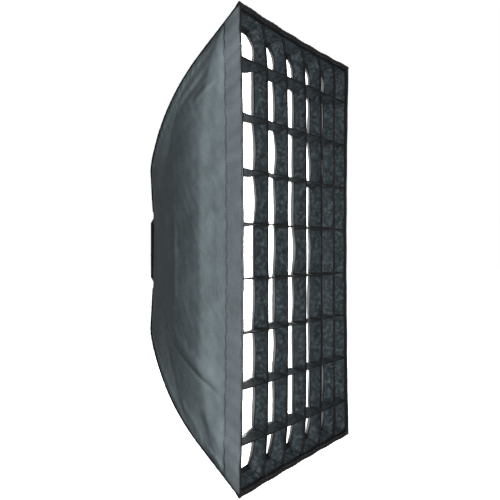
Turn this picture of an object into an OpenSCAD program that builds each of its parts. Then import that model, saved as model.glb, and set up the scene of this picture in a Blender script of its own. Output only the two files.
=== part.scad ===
// Rectangular softbox of the rod-and-ring type, with a fabric egg-crate grid.
// Frame: the origin is the centre of the lamp opening on the seat face that meets the lamp.
// +Y runs back towards the lamp, the light leaves along -Y, and +Z runs along the long side.

/* [Box] */
// Outside width of the front opening, mm
front_width = 600; // [560:10:640]
// Outside height of the front opening, mm
front_height = 900; // [840:10:960]
// Distance from the front opening to the seat face, mm
depth = 338; // [328:2:346]

/* [Frame rods] */
// Diameter of the spring-steel rods, mm
rod_diameter = 4; // [3.6:0.1:4]
// Slope of the straight run of a rod next to the ring, degrees
slope_at_ring = 15; // [12:0.5:16]
// Length of that straight run, measured square to the lamp axis, mm
straight_end = 109; // [95:1:112]
// Radius of the tight bend after the straight run, mm
tight_bend_radius = 136; // [100:2:160]
// Slope at the end of the tight bend, degrees
slope_mid = 27.5; // [26:0.2:28]
// Slope of the straight front end of a rod, degrees
slope_at_front = 51; // [50:0.1:53]

/* [Speed ring] */
// Side of the square ring plate, mm
ring_side = 150; // [148:1:150]
// Chamfer on the corners of the ring plate, mm
ring_chamfer = 15; // [14:1:16]
// Radius of the clear opening for the lamp, mm
lamp_bore_radius = 46; // [40:0.5:47]
// How far the bayonet neck stands behind the seat face, mm
neck_length = 10; // [8:0.5:12]
// Turn of the bayonet lugs about the lamp axis, degrees
lug_turn = 30; // [0:5:60]

/* [Front grid and diffuser] */
// Columns of cells in the grid
grid_columns = 6; // [6:1:6]
// Rows of cells in the grid
grid_rows = 9; // [9:1:9]
// Depth of the grid strips, mm
grid_depth = 30; // [20:1:31]
// Thickness of a grid strip, mm
grid_thickness = 1.2; // [1:0.1:1.6]
// Distance of the front diffuser behind the front opening, mm
diffuser_setback = 38; // [36:1:44]

/* [Hidden] */
$fn = 96;

// Distances from the rod centreline out through the layers of the box wall, measured in
// the plane that holds the rod.
lining_inside = 3.5;
lining_outside = 4.3;
cover_inside = 4.6;
cover_outside = 6.2;
binding_inside = 4.9;
binding_outside = 7.8;

// Half the gap that each layer leaves at a rod's plane, where two walls meet.
cover_mitre = 1.3;
lining_mitre = 4;
binding_half = 1;
tape_mitre = 12;

// Ring plate, insert and washer along the lamp axis.
flange_thickness = 3.8;
washer_thickness = 0.7;
slip = 0.1;
plate_thickness = 16;
plate_rear = -flange_thickness - washer_thickness - 2 * slip;
plate_front = plate_rear - plate_thickness;
hub_radius = 57;
flange_radius = 66;
neck_radius = lamp_bore_radius + 3;
lug_radius = neck_radius + 4.5;
lug_thickness = 4;
lug_angle = 40;
lug_count = 3;
retainer_thickness = 2.5;
retainer_radius = 64;
retainer_clearance = 2;
screw_circle = 52;
screw_count = 4;
screw_radius = 1.5;
screw_depth = 9;
hex_key_radius = 1.15;

// Rod path in the plane of a rod: s runs out from the ring corner, d forward distance
// behind the front opening.
rod_radius = rod_diameter / 2;
ring_corner = ring_side / 2 - ring_chamfer / 2;
corner_dx = front_width / 2 - ring_corner;
corner_dz = front_height / 2 - ring_corner;
corner_length = sqrt(corner_dx * corner_dx + corner_dz * corner_dz);
cx = corner_dx / corner_length;
cz = corner_dz / corner_length;
corner_turn = atan2(corner_dz, corner_dx);
rod_start_d = depth - 14.7;
socket_inner_end = -18;
socket_outer_end = 8;
socket_radius = 4;
socket_floor = 2;
grub_s = -5;
grub_depth = 4;
grub_radius = 2;
a0 = slope_at_ring;
a1 = slope_mid;
a2 = slope_at_front;
r1 = tight_bend_radius;
bend1_s = straight_end - r1 * sin(a0);
bend1_d = rod_start_d - straight_end * tan(a0) - r1 * cos(a0);
mid_s = bend1_s + r1 * sin(a1);
mid_d = bend1_d + r1 * cos(a1);
reach = corner_length - mid_s - cover_outside * sin(a2)
    - (mid_d + cover_outside * cos(a2)) / tan(a2);
r2 = reach / (sin(a2) - sin(a1) - (cos(a1) - cos(a2)) / tan(a2));
bend2_s = mid_s - r2 * sin(a1);
bend2_d = mid_d - r2 * cos(a1);
front_s = bend2_s + r2 * sin(a2);
front_d = bend2_d + r2 * cos(a2);
rod_end_d = 5.5;
front_straight = (front_d - rod_end_d) / sin(a2);
joint_gap = 0.1;
joint_wall = 0.05;
joint_length = 3;

// Fabric layout.
wall_start = ring_side / 2 + 1;
wall_front_d = 1.5;
rim_thickness = 1.2;
big = 1200;
notch_half = 13;
notch_reach = 32;

// Distance from the lamp axis, along a rod's plane, of a layer k outside the rod at depth d.
function layer_s(k, d) = corner_length - (cover_outside - k) / sin(a2) - d / tan(a2);
function layer_x(k, d) = ring_corner + cx * layer_s(k, d);
function layer_z(k, d) = ring_corner + cz * layer_s(k, d);

// Angle along the first bend where a layer starts, at s_start or where the bend begins.
function start_angle(k, s_start) = max(a0, asin((s_start - bend1_s) / (r1 + k)));

// Points of a layer k outside the rod, from s_start near the ring to d_end at the front.
function layer_path(k, s_start, d_end) = concat(
    start_angle(k, s_start) > a0 ? []
        : [[s_start, rod_start_d - s_start * tan(a0) + k / cos(a0)]],
    [for (i = [0:6]) let (t = start_angle(k, s_start) + (a1 - start_angle(k, s_start)) * i / 6)
        [bend1_s + (r1 + k) * sin(t), bend1_d + (r1 + k) * cos(t)]],
    [for (i = [1:12]) let (t = a1 + (a2 - a1) * i / 12)
        [bend2_s + (r2 + k) * sin(t), bend2_d + (r2 + k) * cos(t)]],
    [[layer_s(k, d_end), d_end]]);

function reversed(list) = [for (i = [len(list) - 1:-1:0]) list[i]];

// A layer as a closed outline, s scaled by c and shifted to the ring corner.
function layer_outline(k_in, k_out, s_start, d_end, c) =
    [for (p = concat(layer_path(k_out, s_start, d_end),
                     reversed(layer_path(k_in, s_start, d_end))))
        [ring_corner + c * p[0], p[1] - depth]];

// A layer of the straight front part of the wall, between two depths.
function strip_outline(k_in, k_out, d_front, d_rear, c) =
    [for (p = [[layer_s(k_out, d_front), d_front], [layer_s(k_out, d_rear), d_rear],
               [layer_s(k_in, d_rear), d_rear], [layer_s(k_in, d_front), d_front]])
        [ring_corner + c * p[0], p[1] - depth]];

// Wedge between two rod planes that holds the right-hand wall, less a mitre gap.
module right_wedge(mitre) {
    start_z = ring_corner - mitre / cx;
    end_z = front_height / 2 - mitre / cx + 10 * cz / cx;
    rotate([90, 0, 0])
        linear_extrude(height = big, center = true)
            polygon([[ring_corner, -start_z], [front_width / 2 + 10, -end_z],
                     [front_width / 2 + 10, end_z], [ring_corner, start_z]]);
}

// Wedge between two rod planes that holds the top wall, less a mitre gap.
module top_wedge(mitre) {
    start_x = ring_corner - mitre / cz;
    end_x = front_width / 2 - mitre / cz + 10 * cx / cz;
    rotate([90, 0, 0])
        linear_extrude(height = big, center = true)
            polygon([[-start_x, ring_corner], [-end_x, front_height / 2 + 10],
                     [end_x, front_height / 2 + 10], [start_x, ring_corner]]);
}

// One long side wall layer, on the right-hand side, from an outline in x and y.
module right_wall(outline, mitre) {
    intersection() {
        linear_extrude(height = big, center = true)
            polygon(outline);
        right_wedge(mitre);
    }
}

// One short wall layer, on top, from an outline in z and y.
module top_wall(outline, mitre) {
    intersection() {
        rotate([0, -90, 0])
            linear_extrude(height = big, center = true)
                polygon(outline);
        top_wedge(mitre);
    }
}

// A strip of tape or hem that runs round all four walls, as four separate pieces.
module four_strips(k_in, k_out, d_front, d_rear, mitre) {
    for (side = [0, 1]) {
        mirror([side, 0, 0])
            right_wall(strip_outline(k_in, k_out, d_front, d_rear, cx), mitre);
        mirror([0, 0, side])
            top_wall(strip_outline(k_in, k_out, d_front, d_rear, cz), mitre);
    }
}

// Puts its children into the plane of the rod at one corner: x is s, y is the row's y.
module at_corner(sx, sz) {
    turn = atan2(sz * corner_dz, sx * corner_dx);
    translate([sx * ring_corner, 0, sz * ring_corner])
        rotate([0, -turn, 0])
            children();
}

// Flange and hub that carry the ring plate.
module bayonet_insert() {
    color([0.72, 0.72, 0.73])
        difference() {
            union() {
                translate([0, -flange_thickness, 0])
                    rotate([-90, 0, 0])
                        cylinder(r = flange_radius, h = flange_thickness);
                translate([0, plate_front - slip / 2, 0])
                    rotate([-90, 0, 0])
                        cylinder(r = hub_radius, h = -plate_front - flange_thickness + slip);
            }
            translate([0, -depth, 0])
                rotate([-90, 0, 0])
                    cylinder(r = lamp_bore_radius, h = 2 * depth);
            translate([0, -flange_thickness, 0])
                rotate([-90, 0, 0])
                    cylinder(r = neck_radius, h = 2 * flange_thickness);
            for (i = [0:screw_count - 1])
                rotate([0, 45 + i * 360 / screw_count, 0])
                    translate([screw_circle, plate_front - 1, 0])
                        rotate([-90, 0, 0])
                            cylinder(r = screw_radius + slip / 2, h = screw_depth);
        }
}

// Neck with the lugs that turn into the lamp's socket, set into the back of the flange.
module bayonet_neck() {
    color([0.72, 0.72, 0.73])
        difference() {
            union() {
                translate([0, -flange_thickness, 0])
                    rotate([-90, 0, 0])
                        cylinder(r = neck_radius, h = flange_thickness + neck_length);
                for (i = [0:lug_count - 1])
                    rotate([0, lug_turn + i * 360 / lug_count, 0])
                        translate([0, neck_length - lug_thickness, 0])
                            rotate([-90, 0, 0])
                                rotate([0, 0, -lug_angle / 2])
                                    rotate_extrude(angle = lug_angle)
                                        translate([neck_radius - 1, 0])
                                            square([lug_radius - neck_radius + 1, lug_thickness]);
            }
            translate([0, -depth, 0])
                rotate([-90, 0, 0])
                    cylinder(r = lamp_bore_radius, h = 2 * depth);
        }
}

module retainer_ring() {
    color([0.1, 0.1, 0.11])
        translate([0, plate_front - 2 * slip - retainer_thickness, 0])
            difference() {
                rotate([-90, 0, 0])
                    cylinder(r = retainer_radius, h = retainer_thickness);
                translate([0, -1, 0])
                    rotate([-90, 0, 0])
                        cylinder(r = lamp_bore_radius + retainer_clearance, h = retainer_thickness + 2);
                for (i = [0:screw_count - 1])
                    rotate([0, 45 + i * 360 / screw_count, 0])
                        translate([screw_circle, -1, 0])
                            rotate([-90, 0, 0])
                                cylinder(r = screw_radius + slip, h = retainer_thickness + 2);
            }
}

module retainer_screws() {
    head_top = plate_front - 2 * slip - retainer_thickness - slip / 2;
    head_height = 1.8;
    head_radius = 2.8;
    color([0.6, 0.6, 0.62])
        for (i = [0:screw_count - 1])
            rotate([0, 45 + i * 360 / screw_count, 0])
                translate([screw_circle, 0, 0])
                    difference() {
                        union() {
                            translate([0, head_top - head_height, 0])
                                rotate([-90, 0, 0])
                                    cylinder(r = head_radius, h = head_height);
                            translate([0, head_top, 0])
                                rotate([-90, 0, 0])
                                    cylinder(r = screw_radius, h = screw_depth + 0.5);
                        }
                        translate([0, head_top - head_height - 0.2, 0])
                            rotate([-90, 30, 0])
                                cylinder(r = hex_key_radius, h = 1.2, $fn = 6);
                    }
}

module glide_washer() {
    color([0.85, 0.85, 0.82])
        translate([0, plate_rear + slip, 0])
            difference() {
                rotate([-90, 0, 0])
                    cylinder(r = flange_radius - 1, h = washer_thickness);
                translate([0, -1, 0])
                    rotate([-90, 0, 0])
                        cylinder(r = hub_radius + 3 * slip, h = washer_thickness + 2);
            }
}

module speedring_plate() {
    half = ring_side / 2;
    inner = half - ring_chamfer;
    color([0.05, 0.05, 0.06])
        difference() {
            translate([0, plate_rear, 0])
                rotate([90, 0, 0])
                    linear_extrude(height = plate_thickness)
                        polygon([[half, -inner], [half, inner], [inner, half], [-inner, half],
                                 [-half, inner], [-half, -inner], [-inner, -half], [inner, -half]]);
            translate([0, plate_front - 1, 0])
                rotate([-90, 0, 0])
                    cylinder(r = hub_radius + slip, h = plate_thickness + 2);
            for (sx = [-1, 1], sz = [-1, 1])
                at_corner(sx, sz) {
                    translate([0, rod_start_d - depth, 0])
                        rotate([0, 0, -a0])
                            translate([socket_inner_end - slip, 0, 0])
                                rotate([0, 90, 0])
                                    cylinder(r = socket_radius + slip, h = ring_side / 2);
                    translate([grub_s, plate_rear - grub_depth - slip, 0])
                        rotate([-90, 0, 0])
                            cylinder(r = grub_radius + slip, h = plate_thickness);
                }
            for (sz = [-1, 1])
                translate([0, (plate_rear + plate_front) / 2, sz > 0 ? hub_radius - 5 : -ring_side])
                    cylinder(r = lock_stem_radius + slip / 2, h = ring_side - hub_radius + 5);
        }
}

module rod_socket(sx, sz) {
    color([0.7, 0.7, 0.72])
        at_corner(sx, sz)
            translate([0, rod_start_d - depth, 0])
                rotate([0, 0, -a0])
                    difference() {
                        translate([socket_inner_end, 0, 0])
                            rotate([0, 90, 0])
                                cylinder(r = socket_radius, h = socket_outer_end - socket_inner_end);
                        translate([socket_inner_end + socket_floor, 0, 0])
                            rotate([0, 90, 0])
                                    cylinder(r = rod_radius + slip, h = 2 * (socket_outer_end - socket_inner_end));
                    }
}

module socket_screws() {
    color([0.6, 0.6, 0.62])
        for (sx = [-1, 1], sz = [-1, 1])
            at_corner(sx, sz)
                translate([grub_s, plate_rear - grub_depth, 0])
                    difference() {
                        rotate([-90, 0, 0])
                            cylinder(r = grub_radius, h = grub_depth - slip);
                        translate([0, grub_depth / 2, 0])
                            rotate([-90, 0, 0])
                                cylinder(r = hex_key_radius, h = grub_depth, $fn = 6);
                    }
}

// A straight stretch of rod that starts at [s, d] and runs on at the given slope.
module rod_straight(s, d, slope, length) {
    translate([s, d, 0])
        rotate([0, 0, -slope])
            rotate([0, 90, 0])
                cylinder(r = rod_radius, h = length);
}

// A bent stretch of rod between two slopes, short of both by the gap under the sleeves.
module rod_bend(s, d, radius, slope_from, slope_to) {
    trim = joint_gap / radius * 180 / PI;
    translate([s, d, 0])
        rotate([0, 0, 90 - slope_to + trim])
            rotate_extrude(angle = slope_to - slope_from - 2 * trim)
                translate([radius, 0])
                    circle(r = rod_radius);
}

// Hair-thin sleeve that joins two stretches of a rod into one solid.
module rod_joint(s, d, slope) {
    translate([s, d, 0])
        rotate([0, 0, -slope])
            rotate([0, 90, 0])
                cylinder(r = rod_radius + joint_wall, h = joint_length, center = true);
}

module rod(sx, sz) {
    root_s = (socket_inner_end + socket_floor + slip) * cos(a0);
    root_d = rod_start_d - root_s * tan(a0);
    root_length = (straight_end - root_s) / cos(a0) - joint_gap;
    color([0.55, 0.56, 0.58])
        at_corner(sx, sz)
            translate([0, -depth, 0])
                union() {
                    rod_straight(root_s, root_d, a0, root_length);
                    rod_joint(straight_end, rod_start_d - straight_end * tan(a0), a0);
                    rod_bend(bend1_s, bend1_d, r1, a0, a1);
                    rod_joint(mid_s, mid_d, a1);
                    rod_bend(bend2_s, bend2_d, r2, a1, a2);
                    rod_joint(front_s, front_d, a2);
                    rod_straight(front_s + joint_gap * cos(a2), front_d - joint_gap * sin(a2), a2,
                                 front_straight - joint_gap);
                }
}

module rod_tips() {
    tip_wall = 0.6;
    tip_length = 16;
    color([0.04, 0.04, 0.045])
        for (sx = [-1, 1], sz = [-1, 1])
            at_corner(sx, sz)
                translate([front_s, front_d - depth, 0])
                    rotate([0, 0, -a2])
                        rotate([0, 90, 0])
                            translate([0, 0, front_straight - tip_length])
                                difference() {
                                    cylinder(r = rod_radius + tip_wall, h = tip_length + 1);
                                    translate([0, 0, -1])
                                        cylinder(r = rod_radius + slip / 2, h = tip_length + 1 + slip);
                                }
}

// A webbing patch across each front corner, on the inner side of the rod. It reaches
// further towards the short wall, which leans away from the rod less.
module corner_pockets() {
    reach_long_wall = 4.5;
    reach_short_wall = 11;
    pocket_length = 40;
    pocket_thickness = 1.2;
    color([0.12, 0.12, 0.13])
        for (sx = [-1, 1], sz = [-1, 1])
            at_corner(sx, sz)
                translate([front_s, front_d - depth, 0])
                    rotate([0, 0, -a2])
                        translate([front_straight - pocket_length - 2, -rod_radius - 1 - pocket_thickness,
                                   sx * sz > 0 ? -reach_long_wall : -reach_short_wall])
                            cube([pocket_length, pocket_thickness, reach_long_wall + reach_short_wall]);
}

module side_panel() {
    start_s = (wall_start - ring_corner) / cx;
    color([0.09, 0.1, 0.105])
        right_wall(layer_outline(cover_inside, cover_outside, start_s, wall_front_d, cx), cover_mitre);
}

// The gap at the ring lets the lock knob of the speed ring be reached.
module knob_notch() {
    translate([-notch_half, -depth, 0])
        cube([2 * notch_half, 2 * depth, ring_side / 2 + notch_reach]);
}

module end_panel() {
    start_s = (wall_start - ring_corner) / cz;
    color([0.09, 0.1, 0.105])
        difference() {
            top_wall(layer_outline(cover_inside, cover_outside, start_s, wall_front_d, cz), cover_mitre);
            knob_notch();
        }
}

module side_lining() {
    start_s = (wall_start - ring_corner) / cx;
    color([0.78, 0.79, 0.8])
        right_wall(layer_outline(lining_inside, lining_outside, start_s, wall_front_d, cx), lining_mitre);
}

module end_lining() {
    start_s = (wall_start - ring_corner) / cz;
    color([0.78, 0.79, 0.8])
        difference() {
            top_wall(layer_outline(lining_inside, lining_outside, start_s, wall_front_d, cz), lining_mitre);
            knob_notch();
        }
}

module edge_binding(sx, sz) {
    binding_start = 20;
    band = [for (p = concat(layer_path(binding_outside, binding_start, wall_front_d),
                            reversed(layer_path(binding_inside, binding_start, wall_front_d)))) p];
    color([0.03, 0.03, 0.035])
        at_corner(sx, sz)
            translate([0, -depth, -binding_half])
                linear_extrude(height = 2 * binding_half)
                    polygon(band);
}

module rim_binding() {
    inside_x = layer_x(cover_inside - 2.1, 0);
    inside_z = layer_z(cover_inside - 2.1, 0);
    outside_x = front_width / 2;
    outside_z = front_height / 2;
    corner_gap = 8;
    color([0.05, 0.055, 0.06])
        for (side = [0, 1]) {
            mirror([side, 0, 0])
                translate([inside_x, -depth, -outside_z + corner_gap])
                    cube([outside_x - inside_x, rim_thickness, 2 * outside_z - 2 * corner_gap]);
            mirror([0, 0, side])
                translate([-outside_x, -depth, inside_z])
                    cube([2 * outside_x, rim_thickness, outside_z - inside_z]);
        }
}

module ring_collar() {
    collar_gap = 0.3;
    collar_thickness = 0.6;
    collar_depth = 11;
    collar_half = ring_side / 2 - ring_chamfer - 2;
    collar_in = ring_side / 2 + collar_gap;
    color([0.06, 0.06, 0.07])
        for (side = [0, 1]) {
            mirror([side, 0, 0])
                translate([collar_in, plate_front, -collar_half])
                    cube([collar_thickness, collar_depth, 2 * collar_half]);
            for (half = [0, 1])
                mirror([0, 0, side])
                    mirror([half, 0, 0])
                        translate([notch_half + 1, plate_front, collar_in])
                            cube([collar_half - notch_half - 1, collar_depth, collar_thickness]);
        }
}

module grid_loop_tape() {
    color([0.05, 0.05, 0.055])
        four_strips(2.3, 3.2, 4, 30, tape_mitre);
}

module diffuser_loop_tape() {
    color([0.05, 0.05, 0.055])
        four_strips(2.3, 3.2, diffuser_setback + 2, diffuser_setback + 24, tape_mitre);
}

// Inner baffle, its elastic straps and the loop patches that the straps close on.
baffle_d = 170;
baffle_half_x = 185;
baffle_half_z = 285;
baffle_chamfer = 20;
strap_width = 25;
strap_x = 110;
strap_z = 190;
// Angle along the second bend where the rod path passes the baffle.
baffle_angle = acos((baffle_d - bend2_d) / r2);
function baffle_reach(k, c) = ring_corner + c * (bend2_s + (r2 + k) * sin(baffle_angle));

module baffle_cloth() {
    bx = baffle_half_x;
    bz = baffle_half_z;
    c = baffle_chamfer;
    color([0.93, 0.93, 0.91])
        translate([0, baffle_d - depth, 0])
            rotate([90, 0, 0])
                linear_extrude(height = 0.8)
                    polygon([[bx, -bz + c], [bx, bz - c], [bx - c, bz], [-bx + c, bz],
                             [-bx, bz - c], [-bx, -bz + c], [-bx + c, -bz], [bx - c, -bz]]);
}

module baffle_straps() {
    strap_gap = 0.3;
    strap_in = 20;
    long_x = baffle_reach(-4, cx) - baffle_half_x + strap_in;
    long_z = baffle_reach(-4, cz) - baffle_half_z + strap_in;
    color([0.06, 0.06, 0.07])
        for (side = [0, 1], up = [-1, 1]) {
            mirror([side, 0, 0])
                translate([baffle_half_x - strap_in, baffle_d - depth + strap_gap,
                           up * strap_z - strap_width / 2])
                    cube([long_x, 0.8, strap_width]);
            mirror([0, 0, side])
                translate([up * strap_x - strap_width / 2, baffle_d - depth + strap_gap,
                           baffle_half_z - strap_in])
                    cube([strap_width, 0.8, long_z]);
        }
}

module baffle_loops() {
    half_span = 1.6;
    function patch(c) = [for (p = [
        [r2 + 3.2, baffle_angle - half_span], [r2 + 3.2, baffle_angle + half_span],
        [r2 + 2, baffle_angle + half_span], [r2 + 2, baffle_angle - half_span]])
        [ring_corner + c * (bend2_s + p[0] * sin(p[1])), bend2_d + p[0] * cos(p[1]) - depth]];
    color([0.05, 0.05, 0.055])
        for (side = [0, 1], up = [-1, 1]) {
            mirror([side, 0, 0])
                translate([0, 0, up * strap_z])
                    linear_extrude(height = strap_width + 6, center = true)
                        polygon(patch(cx));
            mirror([0, 0, side])
                translate([up * strap_x, 0, 0])
                    rotate([0, -90, 0])
                        linear_extrude(height = strap_width + 6, center = true)
                            polygon(patch(cz));
        }
}

// Thumb screws that lock the ring's turn on the insert, one on top and one below.
lock_stem_radius = 3;
lock_tip_gap = 0.3;
lock_stem_top = 89;
lock_knob_radius = 9;
lock_knob_low = 77.2;
lock_knob_height = 14;

module lock_stem() {
    color([0.7, 0.7, 0.72])
        translate([0, (plate_rear + plate_front) / 2, hub_radius + lock_tip_gap])
            cylinder(r = lock_stem_radius, h = lock_stem_top - hub_radius - lock_tip_gap);
}

module lock_knob() {
    color([0.04, 0.04, 0.045])
        translate([0, (plate_rear + plate_front) / 2, lock_knob_low])
            difference() {
                union() {
                    cylinder(r = lock_knob_radius - 2.5, h = 3);
                    translate([0, 0, 3])
                        cylinder(r = lock_knob_radius, h = lock_knob_height - 3);
                }
                translate([0, 0, -1])
                    cylinder(r = lock_stem_radius + slip / 2, h = lock_stem_top - lock_knob_low + 1 + slip);
                for (i = [0:7])
                    rotate([0, 0, i * 45])
                        translate([lock_knob_radius + 1.3, 0, 2.9])
                            cylinder(r = 2.4, h = lock_knob_height);
            }
}

module diffuser_cloth() {
    dx = layer_x(-1.4, diffuser_setback);
    dz = layer_z(-1.4, diffuser_setback);
    c = 9;
    color([0.95, 0.95, 0.94])
        translate([0, diffuser_setback + 0.8 - depth, 0])
            rotate([90, 0, 0])
                linear_extrude(height = 0.8)
                    polygon([[dx, -dz + c], [dx, dz - c], [dx - c, dz], [-dx + c, dz],
                             [-dx, dz - c], [-dx, -dz + c], [-dx + c, -dz], [dx - c, -dz]]);
}

module diffuser_hem() {
    color([0.92, 0.92, 0.9])
        four_strips(-1, 0.5, diffuser_setback + 1.1, diffuser_setback + 23, tape_mitre);
}

module diffuser_hook_tape() {
    color([0.05, 0.05, 0.055])
        four_strips(0.9, 1.8, diffuser_setback + 2, diffuser_setback + 22, tape_mitre);
}

// The grid. A vertical strip is slotted from the front and a horizontal strip from the back.
grid_front_d = 2;
grid_end = -1.8;
grid_half_x = layer_x(grid_end, grid_front_d);
grid_half_z = layer_z(grid_end, grid_front_d);
grid_pitch_x = 2 * grid_half_x / grid_columns;
grid_pitch_z = 2 * grid_half_z / grid_rows;
slot_clearance = 0.3;
slot_width = grid_thickness + 2 * slot_clearance;

// Outline of a strip: half length and depth along y, narrower at the back.
module strip_blank(c) {
    front_half = ring_corner + c * layer_s(grid_end, grid_front_d);
    rear_half = ring_corner + c * layer_s(grid_end, grid_front_d + grid_depth);
    polygon([[-front_half, grid_front_d - depth], [front_half, grid_front_d - depth],
             [rear_half, grid_front_d + grid_depth - depth],
             [-rear_half, grid_front_d + grid_depth - depth]]);
}

module grid_vertical(index) {
    color([0.07, 0.08, 0.085])
        translate([(index - grid_columns / 2) * grid_pitch_x, 0, 0])
            difference() {
                rotate([0, -90, 0])
                    linear_extrude(height = grid_thickness, center = true)
                        strip_blank(cz);
                for (j = [1:grid_rows - 1])
                    translate([-5, grid_front_d - depth - 1,
                               (j - grid_rows / 2) * grid_pitch_z - slot_width / 2])
                        cube([10, grid_depth / 2 + 1 + slot_clearance, slot_width]);
            }
}

module grid_horizontal(index) {
    color([0.07, 0.08, 0.085])
        translate([0, 0, (index - grid_rows / 2) * grid_pitch_z])
            difference() {
                linear_extrude(height = grid_thickness, center = true)
                    strip_blank(cx);
                for (i = [1:grid_columns - 1])
                    translate([(i - grid_columns / 2) * grid_pitch_x - slot_width / 2,
                               grid_front_d - depth + grid_depth / 2, -5])
                        cube([slot_width, grid_depth / 2 + 1, 10]);
            }
}

module grid_border() {
    color([0.07, 0.08, 0.085])
        four_strips(-1.3, 0.5, grid_front_d, grid_front_d + grid_depth, tape_mitre);
}

module grid_hook_tape() {
    color([0.05, 0.05, 0.055])
        four_strips(0.9, 1.8, 4, 30, tape_mitre);
}

bayonet_insert();
bayonet_neck();
retainer_ring();
retainer_screws();
glide_washer();
speedring_plate();
rod_socket(-1, 1);  // rod_socket_upper_left
rod_socket(1, 1);  // rod_socket_upper_right
rod_socket(-1, -1);  // rod_socket_lower_left
rod_socket(1, -1);  // rod_socket_lower_right
socket_screws();
rod(-1, 1);  // rod_upper_left
rod(1, 1);  // rod_upper_right
rod(-1, -1);  // rod_lower_left
rod(1, -1);  // rod_lower_right
rod_tips();
corner_pockets();
mirror([1, 0, 0]) side_panel();  // panel_left
side_panel();  // panel_right
end_panel();  // panel_top
mirror([0, 0, 1]) end_panel();  // panel_bottom
mirror([1, 0, 0]) side_lining();  // lining_left
side_lining();  // lining_right
end_lining();  // lining_top
mirror([0, 0, 1]) end_lining();  // lining_bottom
edge_binding(-1, 1);  // edge_binding_upper_left
edge_binding(1, 1);  // edge_binding_upper_right
edge_binding(-1, -1);  // edge_binding_lower_left
edge_binding(1, -1);  // edge_binding_lower_right
rim_binding();
ring_collar();
grid_loop_tape();
diffuser_loop_tape();
baffle_cloth();
baffle_straps();
baffle_loops();
lock_stem();  // top_lock_stem
lock_knob();  // top_lock_knob
mirror([0, 0, 1]) lock_stem();  // bottom_lock_stem
mirror([0, 0, 1]) lock_knob();  // bottom_lock_knob
diffuser_cloth();
diffuser_hem();
diffuser_hook_tape();
grid_vertical(1);  // grid_vertical_1
grid_vertical(2);  // grid_vertical_2
grid_vertical(3);  // grid_vertical_3
grid_vertical(4);  // grid_vertical_4
grid_vertical(5);  // grid_vertical_5
grid_horizontal(1);  // grid_horizontal_1
grid_horizontal(2);  // grid_horizontal_2
grid_horizontal(3);  // grid_horizontal_3
grid_horizontal(4);  // grid_horizontal_4
grid_horizontal(5);  // grid_horizontal_5
grid_horizontal(6);  // grid_horizontal_6
grid_horizontal(7);  // grid_horizontal_7
grid_horizontal(8);  // grid_horizontal_8
grid_border();
grid_hook_tape();
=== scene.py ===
"""Softbox with a fabric grid: the cloth, tape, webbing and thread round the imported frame.

Metres, in the row's frame: the light leaves along -Y and +Z runs along the long side.
"""
import math

import bpy
import numpy as np
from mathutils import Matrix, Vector


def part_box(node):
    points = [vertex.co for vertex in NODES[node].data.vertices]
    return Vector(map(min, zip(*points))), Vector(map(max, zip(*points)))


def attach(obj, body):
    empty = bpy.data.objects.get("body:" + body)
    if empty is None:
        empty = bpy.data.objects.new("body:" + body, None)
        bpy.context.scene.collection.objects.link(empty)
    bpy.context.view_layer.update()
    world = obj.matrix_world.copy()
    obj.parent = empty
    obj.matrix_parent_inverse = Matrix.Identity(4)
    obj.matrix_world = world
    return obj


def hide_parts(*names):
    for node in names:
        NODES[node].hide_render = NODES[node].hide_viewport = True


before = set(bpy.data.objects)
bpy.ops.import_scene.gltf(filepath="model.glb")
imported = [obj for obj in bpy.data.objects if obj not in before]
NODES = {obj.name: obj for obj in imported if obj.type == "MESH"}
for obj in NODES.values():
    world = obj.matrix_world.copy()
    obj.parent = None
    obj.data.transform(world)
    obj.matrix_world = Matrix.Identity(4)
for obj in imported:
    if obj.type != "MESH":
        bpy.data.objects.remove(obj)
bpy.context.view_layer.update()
MM = 0.001

# ---------------------------------------------------------------- camera and light

CAMERA_PLACE = Vector((-1.6835, -1.0176, -0.0055))
CAMERA_AZIMUTH = math.radians(-64.46)
CAMERA_ELEVATION = math.radians(-0.175)
CAMERA_LENS = 61.2
SENSOR_WIDTH = 36
FLOOR_HEIGHT = -0.62
FLOOR_SIZE = 60
OBJECT_CENTRE = Vector((0, -0.17, 0))
# How bright the studio walls are to everything but the camera, which sees plain white.
STUDIO_LIGHT = 0.38


def add_camera():
    data = bpy.data.cameras.new("camera")
    data.lens = CAMERA_LENS
    data.sensor_width = SENSOR_WIDTH
    data.clip_start = 0.05
    camera = bpy.data.objects.new("camera", data)
    bpy.context.scene.collection.objects.link(camera)
    flat = math.cos(CAMERA_ELEVATION)
    back = Vector((math.sin(CAMERA_AZIMUTH) * flat, -math.cos(CAMERA_AZIMUTH) * flat,
                   math.sin(CAMERA_ELEVATION)))
    camera.location = CAMERA_PLACE
    camera.rotation_mode = "QUATERNION"
    camera.rotation_quaternion = (-back).to_track_quat("-Z", "Y")
    bpy.context.scene.camera = camera


def add_area_light(name, place, size, power):
    """A soft box of light that points at the object."""
    data = bpy.data.lights.new(name, "AREA")
    data.shape = "RECTANGLE"
    data.size, data.size_y = size
    data.energy = power
    light = bpy.data.objects.new(name, data)
    light.location = Vector(place)
    light.rotation_mode = "QUATERNION"
    light.rotation_quaternion = (OBJECT_CENTRE - light.location).to_track_quat("-Z", "Y")
    bpy.context.scene.collection.objects.link(light)


add_camera()
add_area_light("key", (-2.05, -3.0, -0.35), (0.8, 1.2), 720)
add_area_light("back", (3.0, 1.4, 0.6), (1.8, 1.8), 60)


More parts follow.
